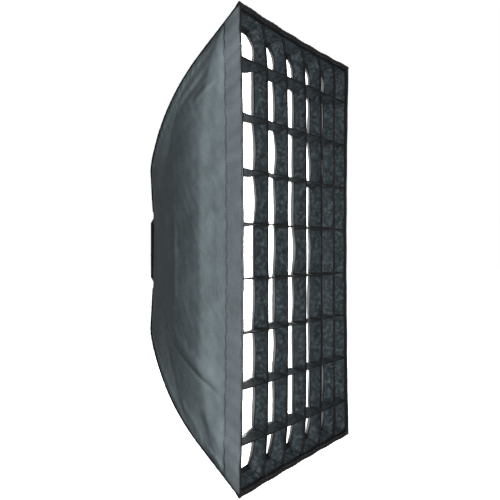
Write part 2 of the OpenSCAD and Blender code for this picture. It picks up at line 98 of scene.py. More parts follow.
def add_world():
    """White studio walls that show as plain white but give only part of the light."""
    world = bpy.data.worlds.new("studio")
    bpy.context.scene.world = world
    world.use_nodes = True
    tree = world.node_tree
    background = tree.nodes["Background"]
    background.inputs["Color"].default_value = (1, 1, 1, 1)
    seen = tree.nodes.new("ShaderNodeLightPath").outputs["Is Camera Ray"]
    strength = tree.nodes.new("ShaderNodeMapRange")
    strength.inputs["To Min"].default_value = STUDIO_LIGHT
    tree.links.new(seen, strength.inputs["Value"])
    tree.links.new(strength.outputs["Result"], background.inputs["Strength"])


add_world()
bpy.context.scene.view_settings.view_transform = "Standard"

# ---------------------------------------------------------------- materials


def linear(*colour):
    """A screen colour from 0 to 255 as the linear colour that a shader takes."""
    parts = [c / 255 for c in colour]
    return [c / 12.92 if c <= 0.04045 else ((c + 0.055) / 1.055) ** 2.4 for c in parts] + [1]


# Blender's wave texture has this many stripes to a unit at a scale of 1.
WAVE_STRIPES = 20


class Finish:
    """One procedural material, built up node by node."""

    def __init__(self, name, roughness, **sockets):
        self.material = bpy.data.materials.new(name)
        self.material.use_nodes = True
        self.tree = self.material.node_tree
        self.shader = self.tree.nodes["Principled BSDF"]
        self.shader.inputs["Roughness"].default_value = roughness
        for socket, value in sockets.items():
            self.shader.inputs[socket.replace("_", " ")].default_value = value
        coordinates = self.add("TexCoord").outputs
        self.place, self.cloth_place = coordinates["Object"], coordinates["UV"]
        self.normal = None

    def feed(self, socket, value):
        """Give a socket a constant, or the output of another node."""
        if isinstance(value, bpy.types.NodeSocket):
            self.tree.links.new(value, socket)
        else:
            socket.default_value = value

    def add(self, kind, links=None, **values):
        node = self.tree.nodes.new("ShaderNode" + kind)
        for key, value in values.items():
            setattr(node, key, value)
        for socket, value in (links or {}).items():
            self.feed(node.inputs[socket], value)
        return node

    def noise(self, size, detail=3.0, rough=0.55, place=None):
        """Noise whose patches are about that many metres across."""
        links = {"Vector": place or self.place, "Scale": 1 / size, "Detail": detail,
                 "Roughness": rough}
        return self.add("TexNoise", links).outputs["Fac"]

    def stretched(self, source, scale):
        return self.add("Mapping", {"Vector": source, "Scale": scale}).outputs["Vector"]

    def spread(self, value, low, high, to_low=0.0, to_high=1.0):
        links = {"Value": value, "From Min": low, "From Max": high, "To Min": to_low,
                 "To Max": to_high}
        return self.add("MapRange", links).outputs["Result"]

    def times(self, first, second):
        return self.add("Math", {0: first, 1: second}, operation="MULTIPLY").outputs[0]

    def plus(self, first, second):
        return self.add("Math", {0: first, 1: second}, operation="ADD").outputs[0]

    def wave(self, pitch, distortion, direction, **sockets):
        """Stripes that far apart on the flat cloth."""
        links = {"Vector": self.cloth_place, "Scale": 1 / pitch / WAVE_STRIPES,
                 "Distortion": distortion, **sockets}
        return self.add("TexWave", links, bands_direction=direction).outputs["Fac"]

    def cells(self, scale):
        links = {"Vector": self.place, "Scale": scale}
        return self.add("TexVoronoi", links).outputs["Distance"]

    def mix(self, amount, first, second):
        """Two colours mixed. One given as numbers is a screen colour."""
        first, second = [linear(*c) if isinstance(c, tuple) else c for c in (first, second)]
        node = self.add("Mix", {0: amount, 6: first, 7: second}, data_type="RGBA")
        return node.outputs[2]

    def bump(self, height, distance, strength):
        links = {"Height": height, "Distance": distance, "Strength": strength}
        if self.normal:
            links["Normal"] = self.normal
        self.normal = self.add("Bump", links).outputs["Normal"]

    def finish(self, colour, roughness=None):
        self.tree.links.new(colour, self.shader.inputs["Base Color"])
        if roughness:
            self.tree.links.new(roughness, self.shader.inputs["Roughness"])
        if self.normal:
            self.tree.links.new(self.normal, self.shader.inputs["Normal"])
        return self.material


def woven(name, dark, light, thread, roughness, relief=0.0001, patch=0.03, speckle=None,
          hems=None, **sockets):
    """Plain-weave cloth: threads over and under, with slow changes of tone and fine lint."""
    f = Finish(name, roughness, **sockets)
    warp, weft = [f.wave(thread, 0.4, way, **{"Detail Scale": 3.0}) for way in "XY"]
    weave = f.times(warp, weft)
    slow = f.noise(patch, 4.0, 0.6)
    lint = f.noise(patch / 9, 3.0, 0.65)
    tone = f.plus(f.times(slow, 0.62), f.times(lint, 0.38))
    colour = f.mix(f.spread(tone, 0.34, 0.66), dark, light)
    colour = f.mix(f.spread(weave, 0.1, 0.9, 0.0, 0.22), colour, dark)
    if speckle:
        flecks = f.spread(f.noise(0.008, 5.0, 0.7), 0.48, 0.8)
        colour = f.mix(f.times(flecks, 0.34), colour, speckle)
    # The darker band at the cloth's edges: on the hem it is the black binding over the fold, and
    # on the grid strips it is painted shade along their front and back edges.
    if hems:
        front, back, bound = hems
        across = f.add("SeparateXYZ", {"Vector": f.cloth_place}).outputs["Y"]
        soft = 0.4 * MM
        sewn = f.plus(f.spread(across, front + soft, front - soft),
                      f.spread(across, back - soft, back + soft))
        colour = f.mix(sewn, colour, bound)
    f.bump(f.noise(patch / 3, 4.0, 0.6), 0.0008, 0.35)
    f.bump(weave, relief, 0.8)
    return f.finish(colour, f.spread(slow, 0.3, 0.7, roughness - 0.08, roughness + 0.08))


def silvered(name):
    """Silver lining: metallic cloth with a fine pebbled emboss."""
    f = Finish(name, 0.35, Metallic=0.85)
    cell = f.cells(420.0)
    slow = f.noise(0.05, 4.0)
    colour = f.mix(f.spread(slow, 0.35, 0.65), (176, 180, 184), (206, 209, 212))
    f.bump(f.noise(0.02, 3.0), 0.0015, 0.4)
    f.bump(cell, 0.0004, 0.7)
    return f.finish(colour, f.spread(cell, 0.0, 0.6, 0.28, 0.48))


def pile(name, dark, light, size, relief):
    """Hook or loop tape: a napped face."""
    f = Finish(name, 0.9, Sheen_Weight=0.05, Sheen_Roughness=0.5, Specular_IOR_Level=0.1)
    nap = f.noise(size, 2.0, 0.8)
    loops = f.cells(0.7 / size)
    colour = f.mix(f.spread(nap, 0.35, 0.65), dark, light)
    f.bump(loops, relief, 0.9)
    f.bump(nap, relief / 2, 0.6)
    return f.finish(colour)


def webbed(name, dark, light, rib):
    """Ribbed webbing, elastic or thread, with half-width threads across the ribs."""
    f = Finish(name, 0.6, Specular_IOR_Level=0.12)
    ribs, cross = f.wave(rib, 0.3, "Y"), f.wave(rib / 2, 0.6, "X")
    both = f.plus(f.times(ribs, 0.7), f.times(cross, 0.3))
    tone = f.times(both, f.spread(f.noise(0.012), 0.3, 0.7, 0.6, 1.0))
    f.bump(both, 0.0003, 0.8)
    return f.finish(f.mix(tone, dark, light))


def cast_metal(name, dark, light, roughness, grain=0.0009):
    """Cast or turned alloy, with fine grain and rubbed patches."""
    f = Finish(name, roughness, Metallic=1.0)
    grit = f.noise(grain, 2.0, 0.6)
    patches = f.noise(0.012, 5.0, 0.6)
    scratches = f.noise(0.004, 2.0, 0.5, f.stretched(f.place, (1.0, 14.0, 1.0)))
    colour = f.mix(f.spread(patches, 0.35, 0.65), dark, light)
    colour = f.mix(f.spread(scratches, 0.6, 0.75, 0.0, 0.25), colour, light)
    f.bump(grit, 0.00008, 0.5)
    return f.finish(colour, f.spread(patches, 0.3, 0.7, roughness - 0.08, roughness + 0.1))


def painted_metal(name):
    """Satin black powder coat with a few fine scratches."""
    f = Finish(name, 0.45)
    patches = f.noise(0.03, 4.0)
    fine = f.noise(0.0012, 2.0, 0.6)
    scratches = f.noise(0.003, 2.0, 0.5, f.stretched(f.place, (1.0, 1.0, 16.0)))
    colour = f.mix(f.spread(patches, 0.3, 0.7), (20, 21, 22), (29, 30, 32))
    colour = f.mix(f.spread(fine, 0.45, 0.75, 0.0, 0.3), colour, (44, 46, 48))
    colour = f.mix(f.spread(scratches, 0.7, 0.76, 0.0, 0.4), colour, (92, 94, 97))
    f.bump(f.noise(0.0007, 2.0, 0.6), 0.00006, 0.7)
    return f.finish(colour, f.spread(patches, 0.3, 0.7, 0.38, 0.5))


def moulded(name, dark, light, roughness=0.48, **sockets):
    """Moulded plastic or coated paper with a fine spark texture."""
    f = Finish(name, roughness, **sockets)
    patches = f.noise(0.015, 4.0)
    f.bump(f.noise(0.0005, 2.0, 0.6), 0.00005, 0.8)
    return f.finish(f.mix(f.spread(patches, 0.3, 0.7), dark, light),
                    f.spread(patches, 0.3, 0.7, roughness - 0.06, roughness + 0.08))


COVER = woven("cover_nylon", (78, 87, 90), (92, 101, 105), 0.0006, 0.78,
              Specular_IOR_Level=0.12)
HEM = woven("hem_nylon", (74, 80, 84), (86, 93, 97), 0.0006, 0.78,
            hems=(-1.0, 11.8 * MM, (5, 6, 7)), Specular_IOR_Level=0.12)
FACING = woven("facing_nylon", (10, 13, 15), (22, 27, 29), 0.0007, 0.75,
               Specular_IOR_Level=0.2)
# Its darker bands at the strips' front and back edges are painted shade.
GRID = woven("grid_cloth", (3, 6, 8), (20, 25, 28), 0.0007, 0.75, patch=0.016,
             speckle=(70, 77, 80), hems=(-14 * MM, 11 * MM, (2, 2, 3)),
             Specular_IOR_Level=0.06)
# Darker than the grid cloth, as painted shade where the level strips cross the upright ones.
GRID_TAB_SHADED = woven("grid_tab_painted_shade", (2, 2, 3), (8, 9, 10), 0.0006, 0.8,
                 Specular_IOR_Level=0.1)
BINDING = webbed("binding_tape", (6, 7, 8), (19, 21, 22), 0.0008)
WEBBING = webbed("webbing", (5, 6, 7), (24, 27, 29), 0.0014)
ELASTIC = webbed("elastic", (6, 7, 8), (22, 24, 26), 0.001)
WHITE = woven("white_cloth", (244, 247, 248), (252, 253, 253), 0.0005, 0.85,
              relief=0.00006, Sheen_Weight=0.1)
PANEL = woven("diffuser_cloth", (246, 249, 250), (254, 254, 254), 0.0005, 0.85,
              relief=0.00006, Specular_IOR_Level=0.2)
WHITE_HEM = webbed("white_tape", (214, 217, 218), (246, 247, 247), 0.001)
LINING = silvered("silver_lining")
HOOKS = pile("hook_tape", (3, 3, 4), (18, 19, 20), 0.0011, 0.0004)
LOOPS = pile("loop_tape", (4, 4, 5), (22, 23, 24), 0.0018, 0.0006)
THREAD = webbed("thread", (10, 11, 12), (34, 37, 39), 0.0004)
WHITE_THREAD = webbed("white_thread", (200, 202, 202), (240, 241, 241), 0.0004)
ALLOY = cast_metal("insert_alloy", (182, 184, 186), (198, 199, 201), 0.36)
STEEL = cast_metal("screw_steel", (150, 152, 155), (190, 191, 193), 0.3, 0.0006)
SPRING = cast_metal("spring_steel", (120, 122, 126), (158, 160, 163), 0.3, 0.0006)
SOCKET = cast_metal("socket_alloy", (170, 171, 173), (200, 201, 203), 0.35)
PAINT = painted_metal("black_metal")
PLASTIC = moulded("black_plastic", (16, 17, 18), (28, 29, 31))
WASHER = moulded("washer_plastic", (214, 213, 205), (232, 231, 224), 0.4)
FLOOR = moulded("floor_paper", (250, 250, 250), (254, 254, 254), 0.9,
                Emission_Color=(1, 1, 1, 1), Emission_Strength=0.8)

# ---------------------------------------------------------------- shape of the frame

DEPTH = -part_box("rim_binding")[0].y
FRONT_X, _, FRONT_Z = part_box("rim_binding")[1]
RING_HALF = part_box("speedring_plate")[1].x
RING_CORNER = RING_HALF - 7.5 * MM
CORNER_X, CORNER_Z = FRONT_X - RING_CORNER, FRONT_Z - RING_CORNER
CORNER_LENGTH = math.hypot(CORNER_X, CORNER_Z)
CX, CZ = CORNER_X / CORNER_LENGTH, CORNER_Z / CORNER_LENGTH

# The rods' path in their own diagonal plane: s runs out from the ring, d is the distance
# behind the front opening, and k is a layer's distance outside the rod.
ROD_START = DEPTH - 14.7 * MM
SLOPES = [math.radians(a) for a in (15, 27.5, 51)]
STRAIGHT_END = 109 * MM
TIGHT_BEND = 136 * MM
COVER_OUTSIDE = 6.2 * MM
# Where the middle of each layer of cloth or tape is, from the outside in, as k in mm.
LAYERS = {"hem": 6.35, "piping": 6.3, "cover": 5.4, "lining": 3.9, "facing": 3.42,
          "hem_inside": 3.1, "baffle_loops": 2.9, "pockets": 2.85, "loops": 2.75,
          "baffle_tabs": 1.7, "hooks": 1.35, "diffuser_hem": -0.25, "grid_frame": -0.4,
          "grid_strips": -1.3, "diffuser": -1.4}
A0, A1, A2 = SLOPES
BEND1 = (STRAIGHT_END - TIGHT_BEND * math.sin(A0),
         ROD_START - STRAIGHT_END * math.tan(A0) - TIGHT_BEND * math.cos(A0))
MIDDLE = (BEND1[0] + TIGHT_BEND * math.sin(A1), BEND1[1] + TIGHT_BEND * math.cos(A1))
REACH = (CORNER_LENGTH - MIDDLE[0] - COVER_OUTSIDE * math.sin(A2)
         - (MIDDLE[1] + COVER_OUTSIDE * math.cos(A2)) / math.tan(A2))
LONG_BEND = REACH / (math.sin(A2) - math.sin(A1) - (math.cos(A1) - math.cos(A2)) / math.tan(A2))
BEND2 = (MIDDLE[0] - LONG_BEND * math.sin(A1), MIDDLE[1] - LONG_BEND * math.cos(A1))


def layer(name):
    return LAYERS[name] * MM


def front_line(k, d):
    """s of a layer on the straight front part of the wall."""
    return CORNER_LENGTH - (COVER_OUTSIDE - k) / math.sin(A2) - np.asarray(d) / math.tan(A2)


def running(steps):
    """How far along a line each of its points is, from the steps between them."""
    return np.concatenate([[0], np.cumsum(steps)])


def step_lengths(points):
    return np.linalg.norm(np.diff(points, axis=0), axis=1)


def sampled(at, run, points):
    return np.stack([np.interp(at, run, column) for column in points.T], axis=1)


def spaced(points, count):
    """Points a same distance apart along a line."""
    run = running(step_lengths(points))
    return sampled(np.linspace(0, run[-1], count), run, points)


def gridded(*parts):
    """Coordinates, which may vary along only one way of a grid, as points."""
    return np.stack(np.broadcast_arrays(*parts), axis=-1)


def rod_line(k, s_start, d_end, count):
    """(s, d) of a layer from near the ring to the front, evenly spaced."""
    first = max(A0, math.asin(min(1, (s_start - BEND1[0]) / (TIGHT_BEND + k))))
    points = []
    if first == A0:
        points.append((s_start, ROD_START - s_start * math.tan(A0) + k / math.cos(A0)))
    for (s, d), radius, low, high in ((BEND1, TIGHT_BEND, first, A1),
                                      (BEND2, LONG_BEND, A1, A2)):
        points += [(s + (radius + k) * math.sin(t), d + (radius + k) * math.cos(t))
                   for t in np.linspace(low, high, 60)[:-1]]
    points.append((float(front_line(k, d_end)), d_end))
    return spaced(np.array(points), count)


def between(value, low, high):
    """A smooth step from 0 at low to 1 at high."""
    t = np.clip((np.asarray(value) - low) / (high - low), 0, 1)
    return t * t * (3 - 2 * t)


GRID_COLUMNS = 6
GRID_ROWS = 9
# Thicknesses: of hook, loop and edge tape, and of a grid strip between its hems and at them.
TAPE = 0.8 * MM
STRIP = 0.9 * MM
STRIP_FOLDED = 1.5 * MM
# The length of one stitch in the hems, and half the thickness of three kinds of thread.
HEM_PITCH = 3.6 * MM
THICK_THREAD = 0.45 * MM
MEDIUM_THREAD = 0.35 * MM
THIN_THREAD = 0.3 * MM
# The cloth of the walls ends this far behind the front, inside the folded hem.
CLOTH_FRONT = 1.5 * MM
# Tapes cover the inside of the walls this far back. There the layers move straight out or in
# together, so that they keep their order.
TAPED_DEPTH = 66 * MM
HEM_DEPTH = 42 * MM
CREST_DEPTH = 112 * MM
CREST_END = 260 * MM
CREST_SOFTNESS = 0.06


class Wall:
    """One of the four walls. Tension draws its cloth in between two rods."""

    def __init__(self, name, axis, sign, front_bow, rear_bow):
        self.name, self.axis, self.sign = name, axis, sign
        self.front_bow, self.rear_bow = front_bow, rear_bow
        self.crest = 11 * MM if axis == "x" else 5 * MM
        self.out, self.side = (CX, CZ) if axis == "x" else (CZ, CX)
        self.start = (RING_HALF + 1 * MM - RING_CORNER) / self.out

    def sag(self, line, spread):
        s, d = line[:, 0], line[:, 1]
        bow = self.front_bow + (self.rear_bow - self.front_bow) * between(d, 0.02, 0.16)
        bow = bow * between(s, self.start, self.start + 70 * MM)
        # The strips of the grid hold the rim in, so it swells a little between them.
        cells = GRID_ROWS if self.axis == "x" else GRID_COLUMNS
        swell = 1.5 * MM * (1 - between(d, 0.01, 0.09))
        swell = swell[:, None] * np.sin((spread[None, :] + 1) / 2 * math.pi * cells) ** 2
        # Behind the front the cloth is drawn out to a soft crest along the wall. Towards the
        # rods the crest is nearer the front and ends sooner.
        apex = (CREST_DEPTH - 22 * MM * spread ** 2 - 46 * MM * spread ** 8)[None, :]
        end = (CREST_END - 120 * MM * spread ** 4)[None, :]
        rise, fall = d[:, None] / apex, (end - d[:, None]) / (end - apex)
        tent = (rise + fall) / 2 - np.hypot((rise - fall) / 2, CREST_SOFTNESS)
        tent = self.crest * np.clip(tent, 0, 1) * (1 - spread[None, :] ** 10)
        return swell + tent - bow[:, None] * (1 - spread[None, :] ** 2)

    def half(self, line):
        return RING_CORNER + self.side * line[:, 0]

    def grid(self, line, spread, rise):
        """Points on the wall. spread is from -1 to 1 between its rods, and rise is outward."""
        s, d = line[:, 0], line[:, 1]
        out = RING_CORNER + self.out * s
        steps = np.hypot(np.gradient(out), np.gradient(d))
        square = between(d, TAPED_DEPTH, 2 * TAPED_DEPTH)
        out_part = (1 - square - square * np.gradient(d) / steps)[:, None]
        back_part = (square * np.gradient(out) / steps)[:, None]
        return self.points(line, spread, out_part * rise, back_part * rise)

    def points(self, line, spread, outward, backward):
        """Points of a layer of the wall, moved out from it and back along the lamp's axis."""
        away = self.sign * ((RING_CORNER + self.out * line[:, 0])[:, None] + outward)
        y = (line[:, 1] - DEPTH)[:, None] + backward
        along = self.half(line)[:, None] * spread[None, :]
        return gridded(*((away, y, along) if self.axis == "x" else (along, y, away)))


WALLS = {w.name: w for w in (Wall("left", "x", -1, 12 * MM, 13 * MM),
                             Wall("right", "x", 1, 15 * MM, 13 * MM),
                             Wall("top", "z", 1, 5 * MM, 9 * MM),
                             Wall("bottom", "z", -1, 1.5 * MM, 8 * MM))}


def ripple(x, z, size, seed, waves=9):
    """Smooth unevenness about that size across, from about -1 to 1, the same each run."""
    draw = np.random.default_rng(seed)
    total = 0
    for _ in range(waves):
        turn, phase = draw.uniform(0, 2 * math.pi, 2)
        length = size * draw.uniform(0.7, 1.7)
        total = total + np.sin(2 * math.pi / length * (x * math.cos(turn) + z * math.sin(turn))
                               + phase)
    return total / math.sqrt(waves)


def crease(x, z, start_x, start_z, end_x, end_z, width, height):
    """A fold between two points that fades towards its ends."""
    along = np.array([end_x - start_x, end_z - start_z])
    length = float(np.hypot(*along))
    along = along / length
    run = (x - start_x) * along[0] + (z - start_z) * along[1]
    off = -(x - start_x) * along[1] + (z - start_z) * along[0]
    fade = between(run, 0, 0.3 * length) * (1 - between(run, 0.7 * length, length))
    return height * fade * np.exp(-(off / width) ** 2)


# ---------------------------------------------------------------- building pieces


def add_piece(name, points, faces, uv, material, body, slot, crisp=40):
    """A mesh piece that rides on a body. uv holds one flat place for each point."""
    mesh = bpy.data.meshes.new(name)
    used, faces = np.unique(faces, return_inverse=True)
    faces = faces.reshape(-1, 4)
    points, uv = points[used], uv[used]
    a, b, c, d = [points[faces[:, corner]] for corner in range(4)]
    if (a * np.cross(b, c)).sum() + (a * np.cross(c, d)).sum() < 0:
        faces = faces[:, ::-1]
    mesh.from_pydata(points.tolist(), [], faces.tolist())
    mesh.uv_layers.new(name="flat").data.foreach_set("uv", uv[faces.ravel()].ravel())
    mesh.polygons.foreach_set("use_smooth", [True] * len(mesh.polygons))
    mesh.materials.append(material)
    mesh.update()
    mesh.set_sharp_from_angle(angle=math.radians(crisp))
    piece = bpy.data.objects.new(name, mesh)
    bpy.context.scene.collection.objects.link(piece)
    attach(piece, body)
    return piece


def run_along(points, axis):
    """Distance along a grid's rows or columns, from its middle line."""
    steps = np.linalg.norm(np.diff(points, axis=axis), axis=-1)
    run = np.insert(np.cumsum(steps, axis=axis), 0, 0, axis=axis)
    middle = np.take(run, [run.shape[axis] // 2], axis=axis)
    return run - middle


def unit_normals(points):
    across = np.gradient(points, axis=0)
    along = np.gradient(points, axis=1)
    normal = np.cross(across, along)
    return normal / np.maximum(np.linalg.norm(normal, axis=-1, keepdims=True), 1e-12)


def closed_sheet(middle, thickness, keep):
    """Points, faces and flat places of a sheet of that thickness round a grid of points."""
    rows, columns, _ = middle.shape
    count = rows * columns
    shift = unit_normals(middle) * (np.broadcast_to(thickness, (rows, columns)) / 2)[..., None]
    points = np.concatenate([(middle + shift).reshape(-1, 3), (middle - shift).reshape(-1, 3)])
    index = np.arange(count).reshape(rows, columns)
    cells = np.stack([index[:-1, :-1], index[1:, :-1], index[1:, 1:], index[:-1, 1:]], axis=-1)
    cells = cells.reshape(-1, 4) if keep is None else cells[keep]
    starts, ends = cells.ravel(), np.roll(cells, -1, axis=1).ravel()
    rim = ~np.isin(starts * count + ends, ends * count + starts)
    a, b = starts[rim], ends[rim]
    sides = np.stack([b, a, a + count, b + count], axis=1)
    faces = np.concatenate([cells, cells[:, ::-1] + count, sides])
    flat = np.stack([run_along(middle, 1), run_along(middle, 0)], axis=-1).reshape(-1, 2)
    return points, faces, np.concatenate([flat, flat])


def join(parts):
    """Several (points, faces, flat places) as one."""
    offsets = np.cumsum([0] + [len(p[0]) for p in parts[:-1]])
    return (np.concatenate([p[0] for p in parts]),
            np.concatenate([p[1] + o for p, o in zip(parts, offsets)]),
            np.concatenate([p[2] for p in parts]))


def cloth(name, grids, thickness, material, body, slot,
          replaces=(), keep=None, crisp=40):
    """A piece of cloth or tape made of one or more grids of points, each a closed sheet."""
    parts = [closed_sheet(g, t, k) for g, t, k in
             zip(grids, thickness if isinstance(thickness, list) else [thickness] * len(grids),
                 keep or [None] * len(grids))]
    piece = add_piece(name, *join(parts), material, body, slot, crisp)
    if replaces:
        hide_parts(*replaces)
    return piece


def stitches(name, rows, pitch, material, body, slot, bulk=THICK_THREAD):
    """Rows of sewing thread. Each row is (points, outward normals) along a seam."""
    parts = []
    ring = np.linspace(0, 2 * math.pi, 7)[:-1]
    for points, normals in rows:
        count = max(2, int(step_lengths(points).sum() / pitch))
        both = spaced(np.concatenate([points, normals], axis=1), count * 2 + 1)
        here, up = both[1::2, :3], both[1::2, 3:]
        ahead = both[2::2, :3] - both[0:-2:2, :3]
        ahead /= np.linalg.norm(ahead, axis=1, keepdims=True)
        side = np.cross(up, ahead)
        for station, (reach, size, lift) in enumerate(((-0.36, 0.3, -0.4), (-0.2, 1.0, 0.3),
                                                       (0.2, 1.0, 0.3), (0.36, 0.3, -0.4))):
            centre = here + ahead * reach * pitch + up * lift * bulk
            circle = (np.cos(ring)[None, :, None] * side[:, None, :]
                      + np.sin(ring)[None, :, None] * up[:, None, :]) * size * bulk
            block = centre[:, None, :] + circle
            stack = block if station == 0 else np.concatenate([stack, block], axis=1)
        n = len(here)
        base = np.arange(n)[:, None, None] * 24
        walls = [[s * 6 + r, s * 6 + (r + 1) % 6, s * 6 + 6 + (r + 1) % 6, s * 6 + 6 + r]
                 for s in range(3) for r in range(6)]
        caps = [[0, 3, 2, 1], [0, 5, 4, 3], [18, 19, 20, 21], [18, 21, 22, 23]]
        faces = (base + np.array(walls + caps)[None]).reshape(-1, 4)
        flat = stack.reshape(-1, 3)[:, [0, 2]]
        parts.append((stack.reshape(-1, 3), faces, flat))
    return add_piece(name, *join(parts), material, body, slot, 80)


def tube(centres, normals, width, height):
    """A swept oval: width across the run and height along the normals."""
    sides = 12
    ahead = np.gradient(centres, axis=0)
    ahead /= np.linalg.norm(ahead, axis=1, keepdims=True)
    across = np.cross(ahead, normals)
    turn = np.linspace(0, 2 * math.pi, sides + 1)[:-1]
    ring = (np.cos(turn)[None, :, None] * across[:, None, :] * np.reshape(width, (-1, 1, 1))
            + np.sin(turn)[None, :, None] * normals[:, None, :] * np.reshape(height, (-1, 1, 1)))
    points = (centres[:, None, :] + ring / 2).reshape(-1, 3)
    n = len(centres)
    i, j = np.meshgrid(np.arange(n - 1), np.arange(sides), indexing="ij")
    k = (j + 1) % sides
    faces = np.stack([i * sides + j, i * sides + k, (i + 1) * sides + k, (i + 1) * sides + j],
                     axis=-1).reshape(-1, 4)
    caps = [[e + 0, e + q, e + q + 1, e + q + 2] for e in (0, (n - 1) * sides)
            for q in range(1, sides - 2, 2)]
    run = running(step_lengths(centres))
    flat = np.stack([np.repeat(run, sides), np.tile(turn * 1 * MM, n)], axis=1)
    return points, np.concatenate([faces, np.array(caps)]), flat


# ---------------------------------------------------------------- walls

# Folds in each cover, in mm. For each end: how far behind the front along the cloth, and the
# place across the wall. Then its half width and its height, which is negative for a dent.
FOLDS = {
    "left": [(50, 385, 245, 255, 9, 0.8),
             (65, 365, 200, 275, 7, -1.4),
             (70, 362, 170, 300, 6, 1.2),
             (65, 322, 140, 284, 6, 1.4),
             (40, -282, 245, -178, 4, -1.7),
             (40, -270, 235, -160, 13, 2),
             (95, -372, 200, -282, 9, 1.3),
             (60, -385, 130, -300, 9, -1.2),
             (50, -405, 100, -372, 6, 2),
             (285, 160, 250, -60, 9, 1.4),
             (225, 90, 215, -130, 10, 1.2)],
    "right": [(100, 320, 240, 230, 9, 2.4),
              (90, -320, 230, -220, 9, 2.2),
              (40, -100, 220, 60, 10, -1.8),
              (140, 240, 135, -240, 28, 1.6)],
    "top": [(110, 190, 250, 130, 8, 2),
            (90, -200, 230, -120, 8, 2),
            (50, -100, 300, 20, 14, -1.6)],
    "bottom": [(100, 200, 240, 120, 8, 2),
               (110, -190, 250, -130, 8, 2),
               (60, 90, 280, -40, 14, 1.6)],
}
SEEDS = {"left": 3, "right": 11, "top": 19, "bottom": 27}
NOTCH_SPREAD = 0.16
NOTCH_END = 46 * MM


def wall_places(wall, line, spread):
    """For each point of a wall: distance behind the front, place across, distance to a rod."""
    out = RING_CORNER + wall.out * line[:, 0]
    steps = np.hypot(np.diff(out), np.diff(line[:, 1]))
    behind = running(steps[::-1])[::-1][:, None] + 0 * spread[None, :]
    across = wall.half(line)[:, None] * spread[None, :]
    edge = wall.half(line)[:, None] * (1 - np.abs(spread))[None, :]
    return behind, across, edge


def broad_shape(wall, line, spread):
    """Everything that the cover and the lining behind it share: sag, folds and unevenness."""
    behind, across, edge = wall_places(wall, line, spread)
    free = between(edge, 0, 0.05) * between(behind, HEM_DEPTH, HEM_DEPTH + 20 * MM)
    folds = 0.8 * MM * free * ripple(behind, across, 0.11, SEEDS[wall.name])
    for fold in FOLDS[wall.name]:
        fold = crease(behind, across, *np.multiply(fold, MM)) * between(edge, 0, 0.02)
        folds = folds + fold * between(behind, HEM_DEPTH, HEM_DEPTH + 14 * MM)
    # Over the tapes the cloth is backed, so there it can only lift away from them.
    backed = 1 - between(line[:, 1], TAPED_DEPTH, 1.4 * TAPED_DEPTH)[:, None]
    lifted = (folds + np.sqrt(folds ** 2 + (0.2 * MM) ** 2)) / 2
    return wall.sag(line, spread) + folds * (1 - backed) + lifted * backed


def cover_shape(wall, line, spread):
    """The cover's own detail: the ridge over the rods, seam puckers and fine unevenness."""
    behind, across, edge = wall_places(wall, line, spread)
    wander = 4 * ripple(behind, across, 0.08, SEEDS[wall.name] + 1)
    pucker = np.sin(2 * math.pi * behind / (17 * MM) + wander) * np.exp(-edge / (13 * MM))
    pucker = 0.55 * MM * pucker * between(edge, 0, 0.004)
    ridge = 0.7 * MM * np.exp(-((edge - 9 * MM) / (8 * MM)) ** 2)
    fine = 0.15 * MM * ripple(behind, across, 0.028, SEEDS[wall.name] + 2, 14)
    free = between(edge, 0, 0.012) * between(behind, HEM_DEPTH, HEM_DEPTH + 14 * MM)
    return broad_shape(wall, line, spread) + (pucker + ridge + fine) * free


def notch_cells(wall, line, spread):
    """Which cells of a wall's grid are cloth: the short walls are open at the lock knobs."""
    middle_s = (line[1:, 0] + line[:-1, 0])[:, None] / 2
    middle_v = np.abs(spread[1:] + spread[:-1])[None, :] / 2
    return ~((middle_s < NOTCH_END) & (middle_v < NOTCH_SPREAD) & (wall.axis == "z"))


def add_walls():
    for wall in WALLS.values():
        columns = 230 if wall.axis == "x" else 170
        spread = np.linspace(-1, 1, columns)
        line = rod_line(layer("cover"), wall.start, CLOTH_FRONT, 120)
        grid = wall.grid(line, spread, cover_shape(wall, line, spread))
        cloth("cover_" + wall.name, [grid], 0.9 * MM, COVER, "shell", "cover_nylon",
              replaces=["panel_" + wall.name],
              keep=[notch_cells(wall, line, spread)])
        spread = np.linspace(-0.99, 0.99, columns // 2)
        line = rod_line(layer("lining"), wall.start, CLOTH_FRONT, 70)
        grid = wall.grid(line, spread, broad_shape(wall, line, spread))
        cloth("inner_lining_" + wall.name, [grid], 0.4 * MM, LINING, "shell", "silver_lining",
              replaces=["lining_" + wall.name],
              keep=[notch_cells(wall, line, spread)])


def band(wall, section, columns, trim, extra=0.0):
    """A grid round the front of a wall. section is (k, d) points, trim a gap at each rod."""
    section = np.array(section)
    line = np.stack([front_line(section[:, 0], section[:, 1]), section[:, 1]], axis=1)
    limit = 1 - trim / float(wall.half(line).mean())
    spread = np.linspace(-limit, limit, columns)
    return wall.points(line, spread, wall.sag(line, spread) + extra, 0)


def frame_loop(section, columns, trim, extra):
    """One tape round the whole front, with its corners cut across and its ends butted."""
    order = (("left", 1), ("top", 1), ("right", -1), ("bottom", -1))
    runs = [band(WALLS[name], section, columns, trim, extra)[:, ::way] for name, way in order]
    loop = []
    for run, after in zip(runs, runs[1:] + runs[:1]):
        start, end = run[:, -1:], after[:, :1]
        loop += [run] + [start + (end - start) * t for t in (0.25, 0.5, 0.75)]
    loop.append(start + (end - start) * 0.96)
    return np.concatenate(loop, axis=1)


def section_line(k, d_from, d_to, count):
    return [(k, d) for d in np.linspace(d_from, d_to, count)]


def front_row(wall, k, d, trim):
    """Points and outward normals of a seam that runs along the front of a wall."""
    points = band(wall, [(k, d), (k, d + 1 * MM)], 260, trim)
    outward = unit_normals(points)[0]
    side = 0 if wall.axis == "x" else 2
    outward = outward * np.sign(outward[:, side:side + 1]) * wall.sign
    return points[0], outward


def bands(section, columns, trim, extra=0.0):
    return [band(wall, section, columns, trim, extra) for wall in WALLS.values()]


def front_rows(k, d):
    return [front_row(wall, k, d, 4 * MM) for wall in WALLS.values()]


